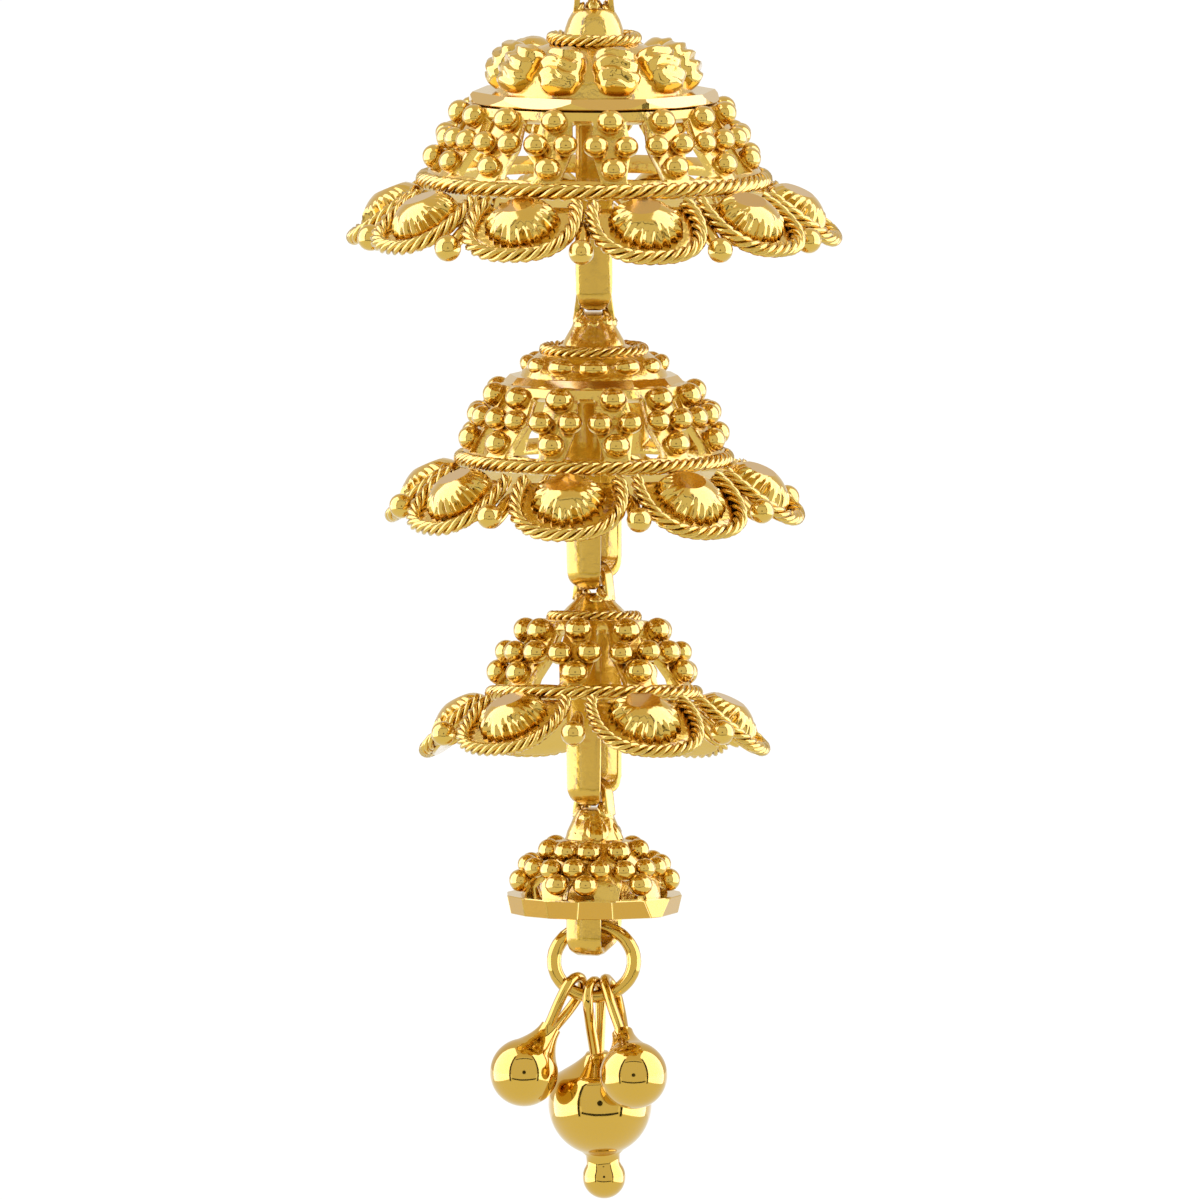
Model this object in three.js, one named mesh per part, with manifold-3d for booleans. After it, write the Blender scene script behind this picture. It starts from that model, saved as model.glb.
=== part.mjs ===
// A four-tier gold jhumka earring: four openwork domes hung one under another by flat strip straps,
// with a jump ring and three hollow ball drops under the smallest dome and a plain wire hook on top.
// Millimetres, +Z up. The origin is the point where the hook hangs, under the top of its bend.
// Each dome, with all that is soldered to it, is one solid, modelled about its own hanging point.
import * as THREE from "three";
import { mergeVertices } from "three/addons/utils/BufferGeometryUtils.js";
import Module from "manifold-3d";

const wasm = await Module();
wasm.setup();

// ---------------------------------------------------------------- driving dimensions
const strip = { width: 1.3, footWidth: 0.8, thickness: 0.3, depth: 2.5 };
const eye = { innerHalf: 0.56, thickness: 0.27, width: 0.7, rise: 0.6, sunk: 0.3 };
const link = { turn: -30 };
const hook = { wire: 0.4, ring: 1.3, drop: 16, bend: 4.2, rear: 11.5, flare: 1.2 };
const wall = 0.45;
// How far the foot of a piece of relief goes into the surface that it stands on.
const sink = 0.2;
// How many flat sides round things have; few of them, as the solids are kept light.
const facets = {
  bead: 10, petalBead: 8, beadBands: 3, beadStem: 4, boss: 8,
  wire: 6, fineWire: 5, drop: 12, dropBands: 7, stem: 8,
};
const petalForm = { thickness: 0.3, overlap: 0.3, sides: 9, boss: { share: 0.68, height: 0.75 } };

// Heights are below each dome's own hanging point. Every row of granules is given by its radius
// and height; "first" is the angle of the first cluster or petal from the front, to the right.
// "tipped" is how far a dome leans back on its eye and strap, in degrees.
const domes = [
  {
    name: "top_dome", eyeTurn: 0, strapTurn: 0, hang: 14.09, sides: 15,
    neck: { top: 0.93, radius: 0.8, foot: 2.19, footRadius: 1.38 },
    collar: { radius: 2.12, height: 2.42, wire: 0.23 },
    shoulder: [
      { radius: 3.2, height: 2.75 },
      { radius: 4.5, height: 4.76 },
    ],
    flange: { radius: 5.63, top: 4.76, bottom: 5.16 },
    clusters: { count: 15, first: 7, granule: 0.5 },
    rows: [
      { radius: 6.05, height: 5.75 },
      { radius: 6.68, height: 6.78 },
      { radius: 7.2, height: 7.82 },
    ],
    rim: { radius: 7.5, height: 8.72, wire: 0.36 },
    petals: {
      count: 10, first: 14.8, halfWidth: 2.82, reach: 4.08, slope: 37, wire: 0.36,
      bead: 0.6, beadRadius: 10.3, beadProud: 0.05,
    },
    bosses: { count: 10, first: 14.8, halfWidth: 0.85, halfLength: 1, rise: 0.6 },
  },
  {
    name: "second_dome", eyeTurn: 0, strapTurn: link.turn, hang: 12.6, sides: 12,
    neck: { top: 0.83, radius: 0.85, foot: 1.82, footRadius: 1.3 },
    collar: { radius: 2.2, height: 2.23, wire: 0.23 },
    shoulder: [
      { radius: 2.75, height: 2.5 },
      { radius: 3.3, height: 3.45 },
    ],
    flange: { radius: 4.05, top: 3.35, bottom: 3.7 },
    clusters: { count: 12, first: 10.5, granule: 0.47 },
    rows: [
      { radius: 4.55, height: 4.3 },
      { radius: 5.27, height: 5.29 },
      { radius: 5.72, height: 6.28 },
    ],
    rim: { radius: 5.9, height: 7.13, wire: 0.28 },
    petals: {
      count: 8, first: -9.3, halfWidth: 2.8, reach: 4.1, slope: 38, wire: 0.33,
      bead: 0.58, beadRadius: 8.65, beadProud: 0.35,
    },
  },
  {
    name: "third_dome", eyeTurn: link.turn, strapTurn: link.turn, hang: 9.77, sides: 18, tipped: 5.5,
    neck: { top: 0.6, radius: 0.85, foot: 1.28, footRadius: 1.26 },
    collar: { radius: 1.85, height: 1.69, wire: 0.22 },
    shoulder: [],
    clusters: { count: 9, first: 27.6, granule: 0.45 },
    rows: [
      { radius: 3.06, height: 2.27 },
      { radius: 3.96, height: 3.26 },
      { radius: 4.28, height: 4.16 },
    ],
    rim: { radius: 4.48, height: 5.06, wire: 0.26 },
    petals: {
      count: 6, first: 22.5, halfWidth: 2.8, reach: 4.03, slope: 41, wire: 0.3,
      bead: 0.58, beadRadius: 7.0, beadProud: 0.45,
    },
  },
  {
    name: "small_dome", eyeTurn: link.turn, strapTurn: link.turn, hang: 6.77, sides: 16,
    neck: { top: 0.88, radius: 0.85, foot: 2.0, footRadius: 1.26 },
    shoulder: [],
    clusters: { count: 8, first: 10, granule: 0.42 },
    rows: [
      { radius: 2.07, height: 2.36 },
      { radius: 2.97, height: 3.22 },
      { radius: 3.42, height: 3.98 },
    ],
    band: { radius: 3.92, top: 4.66, bottom: 5.47 },
  },
];
const jumpRing = { halfWidth: 1.8, halfHeight: 1.6, wire: 0.33, below: 0.7 };
// Each drop hangs on the ring at "on" to the right of its middle; "ball" is the ball's centre.
const drops = [
  { name: "left_ball_drop", on: -0.95, cone: 0.6, ball: { x: -3.15, y: -1.0, height: 12.5, radius: 1.52 } },
  { name: "centre_ball_drop", on: 0, cone: 0.1, ball: { x: 0.3, y: 0.6, height: 13.97, radius: 2.3 },
    bead: { radius: 0.97, below: 3.2, stem: 0.75 } },
  { name: "right_ball_drop", on: 0.8, cone: 0.6, ball: { x: 1.98, y: -2.95, height: 12.5, radius: 1.52 } },
];
const loop = { wire: 0.19, half: 0.7, foot: 0.2, turn: -25 };

// ---------------------------------------------------------------- helpers
const rad = THREE.MathUtils.degToRad;
const vector = (x, y, z) => new THREE.Vector3(x, y, z);
const range = (count) => [...Array(count).keys()];

// A closed three.js geometry as a solid, with its faces pointing out.
function solid(geometry) {
  const bare = geometry.clone();
  bare.deleteAttribute("normal");
  bare.deleteAttribute("uv");
  const merged = mergeVertices(bare, 1e-4);
  const corners = merged.attributes.position;
  const index = merged.index.array;
  const faces = [];
  let volume = 0;
  for (let i = 0; i < index.length; i += 3) {
    const [a, b, c] = [index[i], index[i + 1], index[i + 2]];
    if (a === b || b === c || c === a) continue;
    faces.push([a, b, c]);
    const [p, q, r] = [a, b, c].map((k) => new THREE.Vector3().fromBufferAttribute(corners, k));
    volume += p.dot(q.cross(r));
  }
  const outward = volume < 0 ? faces.map(([a, b, c]) => [a, c, b]) : faces;
  return new wasm.Manifold(new wasm.Mesh({
    numProp: 3,
    vertProperties: new Float32Array(corners.array),
    triVerts: new Uint32Array(outward.flat()),
  }));
}

const join = (solids) => solids.reduce((whole, next) => whole.add(next));

function geometryOf(body) {
  const mesh = body.getMesh();
  const geometry = new THREE.BufferGeometry();
  geometry.setAttribute("position", new THREE.BufferAttribute(mesh.vertProperties, 3));
  geometry.setIndex(new THREE.BufferAttribute(mesh.triVerts, 1));
  geometry.computeVertexNormals();
  return geometry;
}

// A turned shape about Z from a closed outline of { radius, height } points, heights downwards.
function turned(outline, sides, start = 0) {
  const points = [...outline, outline[0]].map((p) => new THREE.Vector2(p.radius, -p.height));
  return new THREE.LatheGeometry(points, sides, rad(start)).rotateX(Math.PI / 2);
}

// A round wire along a smooth path.
function wire(points, radius, sides, steps) {
  const section = new THREE.Shape(
    range(sides).map((k) => {
      const angle = (2 * Math.PI * k) / sides;
      return new THREE.Vector2(radius * Math.cos(angle), radius * Math.sin(angle));
    }),
  );
  const path = new THREE.CatmullRomCurve3(points, false, "centripetal");
  return new THREE.ExtrudeGeometry(section, { steps, extrudePath: path, bevelEnabled: false });
}

// A frame on a dome: X along its girth, Y down its slope, Z out of its surface.
function seat(angle, radius, height, slope) {
  const across = vector(-Math.cos(rad(angle)), -Math.sin(rad(angle)), 0);
  const out = vector(Math.sin(rad(angle)), -Math.cos(rad(angle)), 0);
  const down = out.clone().multiplyScalar(Math.cos(rad(slope)));
  down.z = -Math.sin(rad(slope));
  const normal = new THREE.Vector3().crossVectors(across, down);
  const point = out.multiplyScalar(radius);
  point.z = -height;
  return new THREE.Matrix4().makeBasis(across, down, normal).setPosition(point);
}

// ---------------------------------------------------------------- relief and links
// A low oval boss with a flattish top.
function boss({ halfWidth, halfLength, rise }) {
  const outline = [
    { radius: 0, height: -rise },
    { radius: 0.68, height: -0.72 * rise },
    { radius: 1, height: sink },
    { radius: 0, height: sink },
  ];
  return turned(outline, facets.boss).scale(halfWidth, halfLength, 1);
}

function ball(radius, sides, bands) {
  const outline = range(bands + 1).map((k) => ({
    radius: k % bands === 0 ? 0 : radius * Math.sin((Math.PI * k) / bands),
    height: -radius * Math.cos((Math.PI * k) / bands),
  }));
  return turned(outline, sides);
}

// Flat strip bent to an outline in the plane of Z and the line that is turned from the Y axis.
function bentStrip(outline, width, turn, curveSegments) {
  const geometry = new THREE.ExtrudeGeometry(outline, {
    depth: width, bevelEnabled: false, curveSegments,
  });
  geometry.translate(0, 0, -width / 2);
  const stand = new THREE.Matrix4().makeBasis(vector(0, 1, 0), vector(0, 0, 1), vector(1, 0, 0));
  return geometry.applyMatrix4(stand).rotateZ(rad(turn));
}

// A U of strip that hangs from "top" down to a foot at "bottom", narrowed at the foot.
function strap(top, bottom, turn) {
  const half = strip.thickness / 2;
  const [out, inside] = [strip.depth / 2 + half, strip.depth / 2 - half];
  const corner = 0.8;
  const bend = corner - bottom - half;
  // The narrowing starts and ends at these heights above the foot.
  const [start, end] = [1.3, 0.45];
  const past = 1;
  const outline = new THREE.Shape();
  outline.moveTo(-out, -top);
  outline.absarc(corner - out, bend, corner, Math.PI, 1.5 * Math.PI);
  outline.absarc(out - corner, bend, corner, 1.5 * Math.PI, 2 * Math.PI);
  outline.lineTo(out, -top).lineTo(inside, -top);
  outline.absarc(out - corner, bend, corner - strip.thickness, 0, -0.5 * Math.PI, true);
  outline.absarc(corner - out, bend, corner - strip.thickness, -0.5 * Math.PI, -Math.PI, true);
  outline.lineTo(-inside, -top);
  const narrowing = new THREE.Shape([
    new THREE.Vector2(-strip.width / 2, past - top),
    new THREE.Vector2(-strip.width / 2, start - bottom),
    new THREE.Vector2(-strip.footWidth / 2, end - bottom),
    new THREE.Vector2(-strip.footWidth / 2, -past - bottom),
    new THREE.Vector2(strip.footWidth / 2, -past - bottom),
    new THREE.Vector2(strip.footWidth / 2, end - bottom),
    new THREE.Vector2(strip.width / 2, start - bottom),
    new THREE.Vector2(strip.width / 2, past - top),
  ]);
  const keep = bentStrip(narrowing, 2 * strip.depth, turn + 90, 1);
  return solid(bentStrip(outline, 2 * strip.width, turn, 1)).intersect(solid(keep));
}

// The small eye of strip on top of a dome, through which what it hangs on passes.
function topEye(foot, turn) {
  const centre = eye.rise - eye.innerHalf;
  const outer = eye.innerHalf + eye.thickness;
  const outline = new THREE.Shape();
  outline.moveTo(outer, -foot);
  outline.absarc(0, centre, outer, 0, Math.PI);
  outline.lineTo(-outer, -foot).lineTo(-eye.innerHalf, -foot);
  outline.absarc(0, centre, eye.innerHalf, Math.PI, 0, true);
  outline.lineTo(eye.innerHalf, -foot);
  return solid(bentStrip(outline, eye.width, turn + 90, 2));
}

// ---------------------------------------------------------------- domes
// The slope in degrees below level from one { radius, height } to another further down.
const slopeBetween = (upper, lower) =>
  THREE.MathUtils.radToDeg(Math.atan2(lower.height - upper.height, lower.radius - upper.radius));

// The slope of a dome's side from its first row of granules to its last.
const sideSlope = (dome) => slopeBetween(dome.rows[0], dome.rows.at(-1));

// Where the middle row of granules meets the straight side between the first row and the last.
function sideMiddle(dome) {
  const [first, middle, last] = dome.rows;
  const share = (middle.height - first.height) / (last.height - first.height);
  return { radius: first.radius + share * (last.radius - first.radius), height: middle.height };
}

// A rope ring on a dome's side, as a ridge of its wall's outline.
const ropeRing = ({ radius, height, wire: round }) => [
  { radius: radius + round, height },
  { radius: radius + 0.4 * round, height: height + round },
];

// A flange or band, whose edge is cut to a slant at the top.
const edgeRing = ({ radius, top, bottom }) => [
  { radius: radius - 0.45, height: top },
  { radius, height: 0.5 * (top + bottom) },
  { radius: radius - 0.1, height: bottom },
];

// The dome's wall: its outside from the neck down to the rim, and back up inside.
function shell(dome) {
  const { neck, rows } = dome;
  const [upper, lower] = [rows[0], rows.at(-1)];
  const lip = dome.rim ? ropeRing(dome.rim) : edgeRing(dome.band);
  const end = lip.at(-1);
  const outline = [
    { radius: 0, height: neck.top },
    { radius: neck.radius, height: neck.top },
    { radius: neck.footRadius, height: neck.foot },
    ...(dome.collar ? ropeRing(dome.collar).slice(0, 1) : []),
    ...dome.shoulder,
    ...(dome.flange ? edgeRing(dome.flange) : []),
    { radius: upper.radius, height: upper.height },
    { radius: lower.radius, height: lower.height },
    ...lip,
    { radius: end.radius - 2 * wall, height: end.height },
    { radius: lower.radius - 0.8 * wall, height: lower.height + 0.8 * wall },
    { radius: upper.radius - 1.1 * wall, height: upper.height + 0.3 * wall },
    { radius: 0.8 * neck.footRadius, height: neck.foot + 1.2 * wall },
    { radius: 0, height: neck.foot + 1.2 * wall },
  ];
  const between = dome.sides > dome.clusters.count ? 90 / dome.clusters.count : 0;
  return turned(outline, dome.sides, dome.clusters.first + between);
}

// Each cluster of four granules, one above, two side by side and one below, as a raised lozenge.
function clusters(dome) {
  const { count, first, granule } = dome.clusters;
  const [upper, , lower] = dome.rows;
  const middle = sideMiddle(dome);
  const slope = sideSlope(dome);
  const rise = (row) => (row.height - middle.height) / Math.sin(rad(slope));
  const half = (0.5 * Math.PI * middle.radius) / count + granule;
  const [top, foot] = [rise(upper) - granule, rise(lower) + granule];
  const outline = [
    { radius: 0, height: -granule }, { radius: 0.6, height: -granule },
    { radius: 1, height: sink }, { radius: 0, height: sink },
  ];
  return range(count).map((k) => {
    const lozenge = turned(outline, 4).scale(half, 0.5 * (foot - top), 1);
    return solid(lozenge.translate(0, 0.5 * (foot + top), 0).applyMatrix4(
      seat(first + (k * 360) / count, middle.radius, middle.height, slope),
    ));
  });
}

// The openings between the clusters, wide beside the single granules and narrow between the pairs.
function windows(dome) {
  const { count, first, granule } = dome.clusters;
  const pitch = 360 / count;
  const [upper, , lower] = dome.rows;
  const middle = sideMiddle(dome);
  const slope = sideSlope(dome);
  const cutDepth = 3;
  // A bar of metal stays beside every granule, and a thinner one along every edge of a facet.
  const [bar, edge, narrowest] = [0.12, 0.06, 0.18];
  const half = (row, across) =>
    Math.max(narrowest, (Math.PI * row.radius) / count - across * granule - bar);
  const along = (row) => (row.height - middle.height) / Math.sin(rad(slope));
  const [top, foot] = [along(upper) + edge, along(lower) - edge];
  const facet = (row) => row.radius * Math.tan(Math.PI / dome.sides) - edge;
  const [wide, waist, base] = [
    Math.min(half(upper, 1), facet(upper)), half(middle, 2), Math.min(half(lower, 1), facet(lower)),
  ];
  const outline = new THREE.Shape([
    new THREE.Vector2(-wide, top), new THREE.Vector2(wide, top),
    new THREE.Vector2(waist, 0), new THREE.Vector2(base, foot),
    new THREE.Vector2(-base, foot), new THREE.Vector2(-waist, 0),
  ]);
  return range(count).map((k) => {
    const cutter = new THREE.ExtrudeGeometry(outline, { depth: cutDepth, bevelEnabled: false });
    cutter.translate(0, 0, -0.5 * cutDepth);
    return solid(cutter.applyMatrix4(
      seat(first + (k + 0.5) * pitch, middle.radius, middle.height, slope),
    ));
  });
}

// One oval petal: a dish with a raised wire round its edge and a boss in its middle.
function petal(dome, angle) {
  const { reach, slope, halfWidth, wire: edge } = dome.petals;
  const { thickness, overlap, boss: knob } = petalForm;
  const halfLength = 0.5 * (reach + 2 * edge + overlap);
  const outline = [
    { radius: 0, height: -knob.height },
    { radius: 0.7 * knob.share, height: -0.8 * knob.height },
    { radius: knob.share, height: 0 },
    { radius: 1 - edge / halfWidth, height: -edge },
    { radius: 1, height: 0 },
    { radius: 0, height: thickness },
  ];
  const dish = turned(outline, petalForm.sides, 180);
  dish.scale(halfWidth, halfLength, 1).translate(0, reach + edge - halfLength, 0);
  return solid(dish.applyMatrix4(seat(angle, dome.rim.radius, dome.rim.height, slope)));
}

// A bead between two petals, on a short stem from the rim.
function petalBead(dome, angle) {
  const { bead, beadRadius, beadProud, slope } = dome.petals;
  const along = (beadRadius - dome.rim.radius) / Math.cos(rad(slope));
  const place = seat(angle, beadRadius, dome.rim.height + along * Math.sin(rad(slope)), slope);
  const stem = new THREE.CylinderGeometry(0.5 * bead, 0.5 * bead, along, facets.beadStem);
  stem.translate(0, -0.5 * along, 0.3 * beadProud);
  const knob = ball(bead, facets.petalBead, facets.beadBands).translate(0, 0, beadProud);
  return solid(stem.applyMatrix4(place)).add(solid(knob.applyMatrix4(place)));
}

function petals(dome) {
  const { count, first } = dome.petals;
  const pitch = 360 / count;
  return range(count).flatMap((k) => [
    petal(dome, first + k * pitch), petalBead(dome, first + (k + 0.5) * pitch),
  ]);
}

function shoulderBosses(dome) {
  const { count, first } = dome.bosses;
  const [upper, lower] = dome.shoulder;
  const radius = (upper.radius + lower.radius) / 2;
  const height = (upper.height + lower.height) / 2;
  const slope = slopeBetween(upper, lower);
  return range(count).map((k) => solid(boss(dome.bosses).applyMatrix4(
    seat(first + (k * 360) / count, radius, height, slope),
  )));
}

function dome(spec) {
  const pierced = windows(spec).reduce((body, hole) => body.subtract(hole), solid(shell(spec)));
  const added = [pierced, ...clusters(spec)];
  if (spec.petals) added.push(...petals(spec));
  if (spec.bosses) added.push(...shoulderBosses(spec));
  const bell = join(added).rotate([-(spec.tipped ?? 0), 0, 0]);
  const hangers = [
    topEye(spec.neck.top + eye.sunk, spec.eyeTurn), strap(spec.neck.foot, spec.hang, spec.strapTurn),
  ];
  return join([bell, ...hangers]);
}

// ---------------------------------------------------------------- hook, ring and drops
// A plain wire hook: a closed ring in the top eye, a stem, the bend for the ear and a rear leg.
function earHook() {
  const { wire: radius, ring, drop, bend, rear, flare } = hook;
  const ringTop = 2 * ring - drop;
  const crown = range(7).map((k) => {
    const angle = Math.PI * (1 - k / 6);
    return vector(0, bend * Math.cos(angle), radius - bend + bend * Math.sin(angle));
  });
  const path = [
    vector(0, 0, ringTop - 0.1),
    vector(0, -0.45 * bend, ringTop + 3.4),
    ...crown,
    vector(0, bend + 0.1, -0.62 * rear),
    vector(0, bend + flare, -rear),
  ];
  const closed = new THREE.TorusGeometry(ring, radius, facets.wire, 10).rotateY(Math.PI / 2);
  const steps = 14;
  return solid(closed.translate(0, 0, ring - drop)).add(solid(wire(path, radius, facets.wire, steps)));
}

function jumpRingBody() {
  const { halfWidth, halfHeight, wire: round } = jumpRing;
  const circle = new THREE.TorusGeometry(1, round / halfWidth, facets.wire, 16);
  circle.rotateX(Math.PI / 2);
  return solid(circle.scale(halfWidth, halfWidth, halfHeight));
}

// A ball drop about the middle of the ring: a wire loop round the ring's wire, a cone and a ball.
function ballDrop(spec, centreHeight) {
  const { on, ball: knob, bead } = spec;
  const rise = Math.sqrt(1 - (on / jumpRing.halfWidth) ** 2) * jumpRing.halfHeight;
  const top = vector(on, 0, -rise);
  const centre = vector(knob.x, knob.y, centreHeight - knob.height);
  const down = centre.clone().sub(top).normalize();
  const aside = new THREE.Vector3().crossVectors(vector(1, 0, 0), down).normalize();
  const reach = centre.distanceTo(top);
  const place = new THREE.Matrix4().makeBasis(
    new THREE.Vector3().crossVectors(aside, down).negate(), aside, down.clone().negate(),
  ).setPosition(top);
  const tip = reach - knob.radius - spec.cone;
  // The ball ends flat where a stem goes on from it.
  const flat = 0.97;
  const arc = range(5).map((k) => {
    const angle = (Math.PI * k) / 4;
    return vector(0, -loop.half * Math.cos(angle), loop.half * Math.sin(angle));
  });
  const [shoulder, waist, steps] = [0.85 * loop.half, 0.45 * tip, 10];
  const path = [
    vector(0, -loop.foot, -tip - 0.3), vector(0, -shoulder, -waist), ...arc,
    vector(0, shoulder, -waist), vector(0, loop.foot, -tip - 0.3),
  ];
  const bands = facets.dropBands;
  const round = range(bands - 1).map((k) => {
    const angle = (Math.PI * (k + 1)) / bands;
    return { radius: knob.radius * Math.sin(angle), height: reach - knob.radius * Math.cos(angle) };
  });
  const outline = [
    { radius: 0, height: tip },
    { radius: loop.foot + loop.wire, height: tip },
    ...round.slice(0, bead ? -1 : undefined),
    ...(bead ? [{ radius: bead.stem, height: reach + flat * knob.radius }] : []),
    { radius: 0, height: reach + (bead ? flat : 1) * knob.radius },
  ];
  const strands = wire(path, loop.wire, facets.fineWire, steps).rotateZ(rad(loop.turn));
  const solids = [strands, turned(outline, facets.drop)];
  if (bead) {
    const stem = [
      { radius: 0, height: reach + 0.5 * knob.radius },
      { radius: bead.stem, height: reach + 0.5 * knob.radius },
      { radius: bead.stem, height: reach + bead.below },
      { radius: 0, height: reach + bead.below },
    ];
    const lowest = ball(bead.radius, facets.bead, facets.beadBands + 1);
    solids.push(turned(stem, facets.stem), lowest.translate(0, 0, -reach - bead.below));
  }
  return join(solids.map((geometry) => solid(geometry.applyMatrix4(place))));
}

// ---------------------------------------------------------------- assembly
const gold = { color: 0xe9b63c, metalness: 1, roughness: 0.16 };

function part(name, body, height) {
  const mesh = new THREE.Mesh(geometryOf(body), new THREE.MeshStandardMaterial(gold));
  mesh.name = name;
  mesh.position.z = -height;
  return mesh;
}

const earring = new THREE.Group();
earring.add(part("ear_hook", earHook(), 0));
let hangsAt = hook.drop;
for (const spec of domes) {
  earring.add(part(spec.name, dome(spec), hangsAt));
  hangsAt += spec.hang;
}
const ringCentre = hangsAt + jumpRing.below;
earring.add(part("jump_ring", jumpRingBody(), ringCentre));
const smallDomeTop = hangsAt - domes.at(-1).hang;
for (const spec of drops) {
  earring.add(part(spec.name, ballDrop(spec, ringCentre - smallDomeTop), ringCentre));
}

export default earring;
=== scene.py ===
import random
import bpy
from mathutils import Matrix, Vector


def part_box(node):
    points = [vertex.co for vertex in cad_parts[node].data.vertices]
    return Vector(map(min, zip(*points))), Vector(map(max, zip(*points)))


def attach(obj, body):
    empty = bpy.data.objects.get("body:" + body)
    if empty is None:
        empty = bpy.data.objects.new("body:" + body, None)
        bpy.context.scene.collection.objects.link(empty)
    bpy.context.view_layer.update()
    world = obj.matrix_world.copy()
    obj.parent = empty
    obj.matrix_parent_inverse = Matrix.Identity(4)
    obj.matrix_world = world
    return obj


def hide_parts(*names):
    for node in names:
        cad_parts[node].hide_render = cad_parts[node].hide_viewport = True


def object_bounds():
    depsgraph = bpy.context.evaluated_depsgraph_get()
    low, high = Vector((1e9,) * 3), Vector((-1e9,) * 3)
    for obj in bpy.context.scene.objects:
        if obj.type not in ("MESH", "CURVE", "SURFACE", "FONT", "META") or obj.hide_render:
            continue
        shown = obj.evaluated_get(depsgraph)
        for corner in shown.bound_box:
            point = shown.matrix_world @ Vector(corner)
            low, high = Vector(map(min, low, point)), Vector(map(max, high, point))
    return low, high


bl_info = {
    "name": "Tiered Jhumka Earring",
    "version": (1, 0, 0),
    "blender": (4, 5, 0),
    "location": "3D View > Sidebar > Jhumka",
    "description": "Dresses a four-tier jhumka earring in granulated, twisted-wire gold",
    "category": "Add Mesh",
}

from contextlib import contextmanager
from math import atan2, copysign, cos, degrees, hypot, pi, radians, sin, sqrt, tan

import bmesh
import bpy
from bpy.props import FloatProperty, FloatVectorProperty, IntProperty, PointerProperty
from mathutils import Matrix, Vector

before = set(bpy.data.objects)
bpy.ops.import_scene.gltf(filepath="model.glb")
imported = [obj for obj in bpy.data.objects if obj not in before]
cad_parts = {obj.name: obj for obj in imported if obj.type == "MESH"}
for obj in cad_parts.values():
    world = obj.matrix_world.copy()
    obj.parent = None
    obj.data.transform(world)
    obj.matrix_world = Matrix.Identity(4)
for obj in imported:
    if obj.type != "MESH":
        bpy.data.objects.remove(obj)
CAD_LOW, CAD_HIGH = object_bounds()

STUDIO_MIDDLE = (CAD_LOW + CAD_HIGH) / 2
MM = 0.001  # pieces are modelled in millimetres about their own hanging point, then scaled to metres
TURN = 2 * pi

# ---- the goldsmith's sizes, in mm
# The lower domes' eyes and straps are turned from the front by these degrees.
LINK_TURN = -30
STRAP_TURN = -20
EYE = {"half": 0.56, "thickness": 0.27, "width": 0.7, "rise": 0.6}
STRAP = {
    "width": 1.58, "thickness": 0.3, "depth": 2.5, "corner": 0.95, "foot_slope": 12, "dish": 0.12,
    "narrowed": 0.53,
}
EYE_TOP = EYE["rise"] + EYE["thickness"]
WALL = 0.4
ROW_SHARES = (1.13, 1.03, 1.1)  # size of the granules in each row of the clusters, top to bottom
GRANULE_SHAPE = (1.04, 0.93, 0.93)  # half width, half height and rise, for a granule of size 1
# A petal's legs are (share of the rope's half width, place along the petal); a "fullness" below 1
# makes its tip squarer.
PETAL = {
    "legs": [(0.86, -0.5), (0.935, -0.85), (0.985, -1.3)], "bend": -1.75, "fullness": 0.8,
    "rope_height": 0.06, "plate": 0.22, "plate_share": 0.97, "plate_height": -0.24, "plate_raised": 0.06,
}
# A boss's width, length and centre are shares of its petal's; its belt of flutes, their ridge and step,
# and its slice are shares of the boss.
BOSS = {
    "width": 0.62, "length": 0.4, "centre": -0.47, "rise": 1.38, "base": -0.3,
    "belt": 0.66, "ridge": 0.052, "step": 0.05, "slice": (-0.1, 0.25, 0.845),
}
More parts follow.
